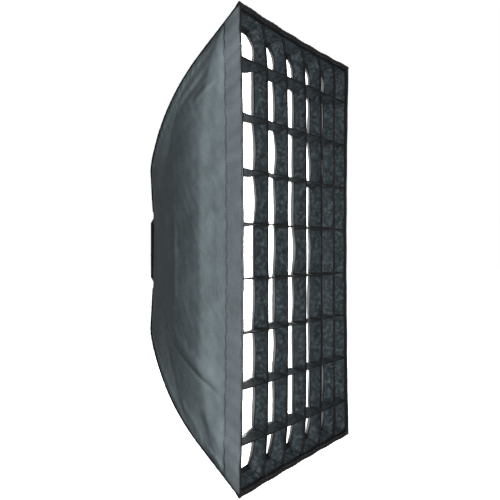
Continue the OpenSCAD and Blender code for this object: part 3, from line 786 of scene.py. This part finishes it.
def add_front_edge():
    """The hem that is folded round the front edge, and the black facing behind it."""
    outside = section_line(layer("hem"), HEM_DEPTH, 1.6 * MM, 20)
    fold = [(6.2 * MM, 0.9 * MM), (5.7 * MM, 0.4 * MM), (4.9 * MM, 0.3 * MM),
            (4.0 * MM, 0.4 * MM), (3.4 * MM, 0.9 * MM)]
    inside = section_line(layer("hem_inside"), 1.6 * MM, 5.6 * MM, 3)
    rows = outside + fold + inside
    columns = 230
    thick = np.full((len(rows), columns), 0.45 * MM)
    thick[:2] = 0.8 * MM
    wave = 0.25 * MM * np.sin(np.linspace(0, 190, columns))[None, :]
    cloth("front_hem", bands(rows, columns, 0, wave), [thick] * 4, HEM, "shell", "cover_nylon",
          replaces=["rim_binding"])
    seams = front_rows(6.9 * MM, HEM_DEPTH - 3 * MM) + front_rows(6.75 * MM, 3 * MM)
    stitches("hem_stitches", seams, HEM_PITCH, THREAD, "shell", "binding_tape")
    facing = bands(section_line(layer("facing"), 3.9 * MM, 64 * MM, 14), 150, 3 * MM)
    cloth("front_facing", facing, 0.2 * MM, FACING, "shell", "binding_tape")


def add_front_tapes():
    """Loop tape on the walls, and the hook tape and hems that close on it."""
    tapes = (("grid_loop", "loops", 4, 30, LOOPS, "shell"),
             ("diffuser_loop", "loops", 40, 62, LOOPS, "shell"),
             ("grid_hook", "hooks", 4, 30, HOOKS, "grid"),
             ("diffuser_hook", "hooks", 40, 60, HOOKS, "diffuser"))
    for name, k, front, back, material, body in tapes:
        grids = bands(section_line(layer(k), front * MM, back * MM, 7), 150, 12 * MM)
        cloth(name + "_band", grids, TAPE, material, body, "hook_tape",
              replaces=[name + "_tape"])


# ---------------------------------------------------------------- corners and ring


def corner_frame(sx, sz):
    """Unit vector out along a corner's diagonal, and across it towards the short wall."""
    out = np.array([sx * CX, 0, sz * CZ])
    across = np.array([-sx * CZ, 0, sz * CX])
    return out, across


def corner_points(sx, sz, line):
    out, _ = corner_frame(sx, sz)
    base = np.array([sx * RING_CORNER, 0, sz * RING_CORNER])
    points = base + line[:, :1] * out
    points[:, 1] = line[:, 1] - DEPTH
    return points


CORNERS = {"upper_left": (-1, 1), "upper_right": (1, 1),
           "lower_left": (-1, -1), "lower_right": (1, -1)}


def add_piping():
    """The bound seam over each rod, with its stitching."""
    rows = []
    for number, (name, (sx, sz)) in enumerate(CORNERS.items()):
        line = rod_line(layer("piping"), 20 * MM, 1.4 * MM, 260)
        centres = corner_points(sx, sz, line)
        out, across = corner_frame(sx, sz)
        steps = np.gradient(line, axis=0)
        steps /= np.linalg.norm(steps, axis=1, keepdims=True)
        normals = -steps[:, 1:] * out
        normals[:, 1] = steps[:, 0]
        run = np.linspace(0, 1, len(line))
        wander = 0.35 * MM * ripple(run, 0 * run, 0.05, 40 + number)
        centres = centres + across * wander[:, None]
        fat = 1 + 0.07 * ripple(run, 0 * run, 0.02, 50 + number)
        fat = fat + 0.7 * np.exp(-((1 - run) / 0.018) ** 2)
        points, faces, flat = tube(centres, normals, 3.4 * MM * fat, 4.4 * MM * fat)
        piece = add_piece("piping_" + name, points, faces, flat, BINDING, "shell",
                          "binding_tape", 60)
        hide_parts("edge_binding_" + name)
        for side in (-1, 1):
            seam = centres + across * side * 1.35 * MM - normals * 0.4 * MM
            rows.append((seam, across * side + 0 * normals))
    stitches("piping_stitches", rows, 3.4 * MM, THREAD, "shell", "binding_tape", MEDIUM_THREAD)


def add_corner_pockets():
    """A webbing pocket over the tip of each rod, sewn to the inside of both walls."""
    rows, grids = [], []
    reach, clear = 10.5 * MM, 3.7 * MM
    depth = np.linspace(3 * MM, 38 * MM, 24)
    for sx, sz in CORNERS.values():
        out, _ = corner_frame(sx, sz)
        on_walls, on_rod = [
            corner_points(sx, sz, np.stack([front_line(k, depth), depth], axis=1))
            for k in (layer("pockets"), 0)]
        side_end = on_walls + np.array([0, 0, -sz]) * reach
        top_end = on_walls + np.array([-sx, 0, 0]) * reach
        over = between(depth, 1 * MM, 6 * MM)[:, None]
        crest = on_walls + (on_rod - out * clear - on_walls) * over
        control = 2 * crest - (side_end + top_end) / 2
        t = np.linspace(0, 1, 25)[None, :, None]
        grid = ((1 - t) ** 2 * side_end[:, None] + 2 * t * (1 - t) * control[:, None]
                + t ** 2 * top_end[:, None])
        grids.append(grid)
        inward = -out
        for column in (2, -3):
            rows.append((grid[1:-1, column] + inward * 0.6 * MM, inward + 0 * grid[1:-1, 0]))
        rows.append((grid[-2, 2:-2] + inward * 0.6 * MM, inward + 0 * grid[-2, 2:-2]))
    cloth("rod_pockets", grids, TAPE, WEBBING, "shell", "webbing",
          replaces=["corner_pockets"])
    stitches("pocket_stitches", rows, 3 * MM, THREAD, "shell", "binding_tape", MEDIUM_THREAD)


def add_ring_collar():
    """The elastic hem that grips the ring plate, gathered between the corners."""
    low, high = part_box("ring_collar")
    half = RING_HALF - 15 * MM
    rows = 9
    y = np.linspace(low.y - 1 * MM, high.y, rows)
    grids = []
    for axis, sign, start, end in (("x", -1, -half, half), ("x", 1, -half, half),
                                   ("z", 1, -half, -14 * MM), ("z", 1, 14 * MM, half),
                                   ("z", -1, -half, -14 * MM), ("z", -1, 14 * MM, half)):
        along = np.linspace(start, end, 110)
        gather = 0.35 * MM * np.sin(along / (1.3 * MM) + 2 * ripple(along, 0, 0.02, 61))
        swell = 0.5 * MM * np.sin(np.linspace(0, math.pi, rows)) + 0.6 * MM
        away = sign * (RING_HALF + swell[:, None] + (gather + 0.35 * MM)[None, :])
        parts = [away, y[:, None], along[None, :]][::1 if axis == "x" else -1]
        grids.append(gridded(*parts))
    cloth("ring_gather", grids, 0.6 * MM, ELASTIC, "shell", "binding_tape",
          replaces=["ring_collar"])


# ---------------------------------------------------------------- inner baffle


def add_baffle():
    low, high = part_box("baffle_cloth")
    half_x, half_z, corner = high.x, high.z, 20 * MM
    y = (low.y + high.y) / 2
    z = np.linspace(-half_z, half_z, 150)
    half = half_x - np.clip(np.abs(z) - (half_z - corner), 0, None)
    x = half[:, None] * np.linspace(-1, 1, 110)[None, :]
    z = z[:, None] + 0 * x
    edge = np.minimum(half[:, None] - np.abs(x), half_z - np.abs(z))
    wave = 1.6 * MM * ripple(x, z, 0.2, 71) + 0.7 * MM * ripple(x, z, 0.05, 72)
    wave = wave * between(edge, 0, 0.05)
    thick = np.where(edge < 9 * MM, 1.1 * MM, 0.6 * MM)
    cloth("inner_baffle", [gridded(x, y + wave, z)], [thick], WHITE, "shell", "white_cloth",
          replaces=["baffle_cloth"])
    seam_x, seam_z = [np.linspace(22 * MM - half, half - 22 * MM, 60)
                      for half in (half_x, half_z)]
    rows = []
    for sign in (-1, 1):
        rows.append(gridded(sign * (half_x - 8 * MM), y - 0.7 * MM, seam_z))
        rows.append(gridded(seam_x, y - 0.7 * MM, sign * (half_z - 8 * MM)))
    stitches("baffle_stitches", [(row, [0, -1.0, 0] + 0 * row) for row in rows],
             HEM_PITCH, WHITE_THREAD, "shell", "white_cloth", MEDIUM_THREAD)


def wall_spot(wall, k, d, across, width, length):
    """A patch of tape on a wall, centred d behind the front, following the sagged cloth."""
    line = rod_line(k, wall.start, CLOTH_FRONT, 900)
    near = int(np.abs(line[:, 1] - d).argmin())
    out = RING_CORNER + wall.out * line[:, 0]
    run = running(np.hypot(np.diff(out), np.diff(line[:, 1])))
    piece = sampled(run[near] + np.linspace(-length / 2, length / 2, 14), run, line)
    half = float(wall.half(piece).mean())
    spread = np.linspace(across - width / 2, across + width / 2, 8) / half
    return wall.grid(piece, spread, broad_shape(wall, piece, spread))


def add_baffle_fixings():
    """Elastic bands from the baffle to loop patches on the lining."""
    low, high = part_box("baffle_cloth")
    middle_d = DEPTH + (low.y + high.y) / 2
    patches, elastic, tabs = [], [], []
    for wall in WALLS.values():
        axis, place, edge = (0, 0.19, high.x) if wall.axis == "x" else (2, 0.11, high.z)
        for up in (-1, 1):
            patches.append(wall_spot(wall, layer("baffle_loops"), middle_d, up * place,
                                     31 * MM, 40 * MM))
            tab = wall_spot(wall, layer("baffle_tabs"), middle_d, up * place, 25 * MM, 30 * MM)
            tabs.append(tab)
            rim = tab[7]
            inner = rim.copy()
            inner[:, axis] = wall.sign * (edge - 20 * MM)
            inner[:, 1] = high.y + 0.9 * MM
            t = np.linspace(0, 1, 24)[:, None, None]
            grid = inner[None] * (1 - t) + rim[None] * t
            grid[..., 1] += 1.5 * MM * np.sin(math.pi * t[..., 0]) * (t[..., 0] > 0.3)
            elastic.append(grid)
    cloth("baffle_bands", elastic, 1.0 * MM, ELASTIC, "shell", "webbing",
          replaces=["baffle_straps"])
    cloth("baffle_band_tabs", tabs, TAPE, HOOKS, "shell", "hook_tape")
    cloth("baffle_loop_patches", patches, TAPE, LOOPS, "shell", "hook_tape",
          replaces=["baffle_loops"])


# ---------------------------------------------------------------- diffuser and grid


def front_limits(k, d, spread, axis):
    """Where the sagged walls put the two ends of a strip: low and high, at each spread."""
    on_rod = np.array([[float(front_line(0, d)), d]])
    ends = []
    for name in ("left", "right") if axis == "x" else ("bottom", "top"):
        wall = WALLS[name]
        out = RING_CORNER + wall.out * float(front_line(k, d))
        ends.append(wall.sign * (out + wall.sag(on_rod, np.atleast_1d(spread))[0]))
    return ends


def add_diffuser():
    low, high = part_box("diffuser_cloth")
    y = (low.y + high.y) / 2
    d = y + DEPTH
    a, b = np.meshgrid(np.linspace(-1, 1, 150), np.linspace(-1, 1, 200))
    x_low, x_high = front_limits(layer("diffuser"), d, b.ravel(), "x")
    z_low, z_high = front_limits(layer("diffuser"), d, a.ravel(), "z")
    x_low, x_high, z_low, z_high = [e.reshape(a.shape) for e in (x_low, x_high, z_low, z_high)]
    x = (x_low + x_high) / 2 + a * (x_high - x_low) / 2
    z = (z_low + z_high) / 2 + b * (z_high - z_low) / 2
    edge = np.minimum(high.x - np.abs(x), high.z - np.abs(z))
    # Its corners are cut across, like those of the tape round it.
    side_x, side_z = np.where(a > 0, x_high, x_low), np.where(b > 0, z_high, z_low)
    cut = np.clip(6 * MM - np.abs(side_x - x) - np.abs(side_z - z), 0, None) / 2
    x, z = x - np.sign(a) * cut, z - np.sign(b) * cut
    wave = 1.3 * MM * ripple(x, z, 0.22, 81) * between(edge, 0, 0.08)
    for sx, sz in ((-1, -1), (-1, 1), (1, -1), (1, 1)):
        far_x, far_z = x - sx * high.x, z - sz * high.z
        fan = np.sin(15 * np.arctan2(np.abs(far_z), np.abs(far_x) + 1e-6) + sx + 2 * sz)
        away = np.hypot(far_x, far_z)
        wave = wave + 1.6 * MM * fan * np.exp(-away / 0.11) * between(away, 0.0, 0.05)
    scallop = np.sin((x + z) / (7.5 * MM) + 2 * ripple(x, z, 0.1, 82))
    wave = wave + 0.5 * MM * scallop * np.exp(-edge / 0.02) * between(edge, 0, 0.006)
    cloth("front_diffuser", [gridded(x, y + wave, z)], 0.5 * MM, PANEL, "diffuser",
          "white_cloth", replaces=["diffuser_cloth"])
    wave = 0.2 * MM * np.sin(np.linspace(0, 240, 170))[None, :]
    section = section_line(layer("diffuser_hem"), 38.9 * MM, 61 * MM, 9)
    hem = frame_loop(section, 170, 4 * MM, wave)
    cloth("diffuser_edge_tape", [hem], TAPE, WHITE_HEM, "diffuser", "white_cloth",
          replaces=["diffuser_hem"])
    rows = [front_row(wall, -1.1 * MM, d_row, 14 * MM) for wall in WALLS.values()
            for d_row in (42 * MM, 58 * MM)]
    stitches("diffuser_stitches", [(p, -n) for p, n in rows], HEM_PITCH, WHITE_THREAD,
             "diffuser", "white_cloth", THIN_THREAD)


GRID_FRONT = 2 * MM
GRID_DEPTH = 30 * MM
# Lines along a strip, from its front edge to its back edge, closer together at its hems.
STRIP_LINES = np.array([0, 2, 4.5, 5.5, 9, 13, 17, 21, 24.5, 25.5, 28, 30]) * MM
STRIP_HEM = 5 * MM


def lean_of_column(x):
    """How far a column's front edge is drawn sideways at mid-height."""
    return float(np.interp(x, [-0.1, 0, 0.1, 0.2], [24 * MM, 27 * MM, 21 * MM, 9 * MM]))


def shift_of_column(x):
    """How far a column's ends are sewn to one side of an even spacing."""
    return float(np.interp(x, [-0.1, 0], [10 * MM, 17 * MM]))


def pull_of_column(x):
    """How much further back edges are drawn towards -X at mid-height."""
    return float(np.interp(x, [-0.2, 0.1, 0.2], [4 * MM, 2 * MM, 14 * MM]))


def strip(x, y, z):
    """A strip's grid of points, and its thickness: both its edges are turned over and sewn."""
    hemmed = (STRIP_LINES < STRIP_HEM) | (STRIP_LINES > GRID_DEPTH - STRIP_HEM)
    thick = np.where(hemmed, STRIP_FOLDED, STRIP)[:, None]
    return gridded(x, y, z), thick


def strip_ends(wall_place, axis):
    """Where each line of a strip meets the walls at both its ends."""
    ends = [front_limits(layer("grid_strips"), GRID_FRONT + d, wall_place, axis)
            for d in STRIP_LINES]
    return np.array(ends)[..., 0].T[..., None]


def cell_number(place, count):
    """Which of the grid's openings a place from -1 to 1 is in."""
    return np.clip(((place + 1) / 2 * count).astype(int), 0, count - 1)


def column_strip(index):
    """One upright strip of the grid: taut at its front edge, wavy at its back edge."""
    x0 = (index - GRID_COLUMNS / 2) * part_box("grid_border")[1].x * 2 / GRID_COLUMNS
    t = (STRIP_LINES / GRID_DEPTH)[:, None]
    v = np.linspace(-1, 1, 260)[None, :]
    half_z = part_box("grid_border")[1].z - 2 * MM
    lean, shift = lean_of_column(x0), shift_of_column(x0)
    z_low, z_high = strip_ends(x0 / FRONT_X, "z")
    z = (z_low + z_high) / 2 + v * (z_high - z_low) / 2
    to_end = (1 - np.abs(v)) * (z_high - z_low) / 2
    cells = np.cos(z / half_z * math.pi * GRID_ROWS / 2)
    draw = np.random.default_rng(100 + index)
    swing = draw.uniform(-1, 1, GRID_ROWS)
    cell = cell_number(z / half_z, GRID_ROWS)
    belly = swing[cell] * np.abs(cells)
    wander = ripple(z, 0 * z, 0.16, 110 + index)
    bend, reach = np.where(v > 0, 23 * MM, 17 * MM), np.where(v > 0, 15 * MM, 27 * MM)
    curl = -bend * np.exp(-(to_end / reach) ** 2) * t ** 1.5
    x = x0 + shift + (lean - shift) * (1 - v ** 6) + curl
    x = x - pull_of_column(x0) * t * (1 - v ** 4)
    x = x + t ** 1.5 * (5 * MM * belly + 2.4 * MM * wander)
    x = x + 0.7 * MM * (1 - t) * ripple(z, 0 * z, 0.07, 120 + index)
    setback = 4.5 * MM * np.exp(-to_end / (30 * MM)) * (1 - t)
    flare = 2 * MM * np.exp(-(to_end / (12 * MM)) ** 2) * t
    scallop = 3.4 * MM * t * np.abs(cells) * draw.uniform(0.1, 1.0, GRID_ROWS)[cell]
    y = GRID_FRONT - DEPTH + STRIP_LINES[:, None] + setback + flare - scallop
    return strip(x, y, z)


def row_strip(index):
    """One level strip of the grid: its back edge is pulled towards mid-height and sags."""
    z0 = (index - GRID_ROWS / 2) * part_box("grid_border")[1].z * 2 / GRID_ROWS
    t = (STRIP_LINES / GRID_DEPTH)[:, None]
    v = np.linspace(-1, 1, 200)[None, :]
    x_low, x_high = strip_ends(z0 / FRONT_Z, "x")
    x = (x_low + x_high) / 2 + v * (x_high - x_low) / 2
    high = z0 / FRONT_Z
    tilt = math.radians(34) * high * abs(high) ** 0.8
    cells = np.abs(np.sin(v * math.pi * GRID_COLUMNS / 2))
    draw = np.random.default_rng(200 + index)
    cell = cell_number(v, GRID_COLUMNS)
    droop = draw.uniform(0.2, 1.0, GRID_COLUMNS)[cell] * cells
    wander = ripple(x, 0 * x, 0.14, 210 + index)
    level = z0 - (5 * MM if high < 0 else 0)
    drop = math.sin(tilt) * STRIP_LINES[:, None]
    z = level + (21 + 6 * v) * MM * high * abs(high) ** 0.6 - drop
    z = z - t ** 1.3 * (7 * MM * droop * (0.4 + abs(high)) + 2.4 * MM * wander)
    z = z - 1.2 * MM * (1 - t) * cells * draw.uniform(0.0, 1.0, GRID_COLUMNS)[cell]
    scallop = 1.2 * MM * t * cells * draw.uniform(0.3, 1.0, GRID_COLUMNS)[cell]
    y = GRID_FRONT - DEPTH + math.cos(tilt) * STRIP_LINES[:, None] - scallop
    return strip(x, y + 0.8 * MM * (1 - t), z)


def strip_seams(grid):
    """Stitch rows near both edges of a strip, on both faces."""
    normal = unit_normals(grid)
    return [(grid[row] + side * normal[row] * 0.85 * MM, side * normal[row])
            for row in (1, -2) for side in (-1, 1)]


def crossing_tab(column, row, side):
    """The turned end of a level strip, sewn flat to one face of an upright strip; its darker
    cloth is painted shade where the strips cross.
    """
    lines = []
    for upright, level in zip(column, row):
        order = np.argsort(upright[:, 2])
        middle = np.interp(np.interp(0, upright[:, 2], upright[:, 0]), level[:, 0], level[:, 2])
        place = np.interp(middle, upright[order, 2], upright[order, 0])
        middle = np.interp(place, level[:, 0], level[:, 2])
        z = middle + np.linspace(-5, 5, 5) * MM
        x, y = [np.interp(z, upright[order, 2], upright[order, axis]) for axis in (0, 1)]
        lines.append(gridded(x + side * 1.1 * MM, y, z))
    return np.stack(lines)


def add_grid():
    seams, columns, rows = [], [], []
    for make, count, made, name, node in (
            (column_strip, GRID_COLUMNS, columns, "column", "vertical"),
            (row_strip, GRID_ROWS, rows, "row", "horizontal")):
        for index in range(1, count):
            grid, thick = make(index)
            cloth(f"grid_{name}_{index}", [grid], [thick], GRID, "grid", "grid_cloth",
                  replaces=[f"grid_{node}_{index}"], crisp=50)
            made.append(grid)
            seams += strip_seams(grid)
    stitches("grid_stitches", seams, 4.2 * MM, THREAD, "grid", "binding_tape", THIN_THREAD)
    tabs = [crossing_tab(column, row, side) for column in columns for row in rows
            for side in (-1, 1)]
    # Their darker cloth is painted shade at each crossing of the strips.
    cloth("grid_crossing_shaded_tabs", tabs, 0.7 * MM, GRID_TAB_SHADED, "grid", "grid_cloth")
    section = section_line(layer("grid_frame"), GRID_FRONT, GRID_FRONT + 32 * MM, 12)
    thick = np.full((len(section), 1), STRIP)
    thick[[0, 1, -2, -1]] = STRIP_FOLDED
    wave = 0.3 * MM * np.sin(np.linspace(0, 160, 190))[None, :]
    tape = frame_loop(section, 190, 7 * MM, wave)
    cloth("grid_frame_tape", [tape], [thick], GRID, "grid", "grid_cloth",
          replaces=["grid_border"])


# ---------------------------------------------------------------- carried-over metal


# Looks of the CAD nodes that stay, by how a name starts and ends. The first that fits counts.
FRAME_LOOKS = (("bayonet_", "", ALLOY), ("speedring_plate", "", PAINT),
               ("retainer", "_ring", PAINT), ("glide_washer", "", WASHER),
               ("rod_socket", "", SOCKET), ("", "_knob", PLASTIC), ("", "_tips", PLASTIC),
               ("", "_screws", STEEL), ("", "_stem", STEEL), ("rod_", "", SPRING))


def finish_frame():
    for name, node in NODES.items():
        for start, end, material in FRAME_LOOKS:
            if name.startswith(start) and name.endswith(end):
                node.data.materials.clear()
                node.data.materials.append(material)
                break


def add_floor():
    bpy.ops.mesh.primitive_plane_add(size=FLOOR_SIZE, location=(0, 0, FLOOR_HEIGHT))
    floor = bpy.context.object
    floor.name = "floor"
    floor.data.materials.append(FLOOR)
    floor.visible_diffuse = False
    floor.visible_glossy = False


add_walls()
add_front_edge()
add_front_tapes()
add_piping()
add_corner_pockets()
add_ring_collar()
add_baffle()
add_baffle_fixings()
add_diffuser()
add_grid()
finish_frame()
add_floor()
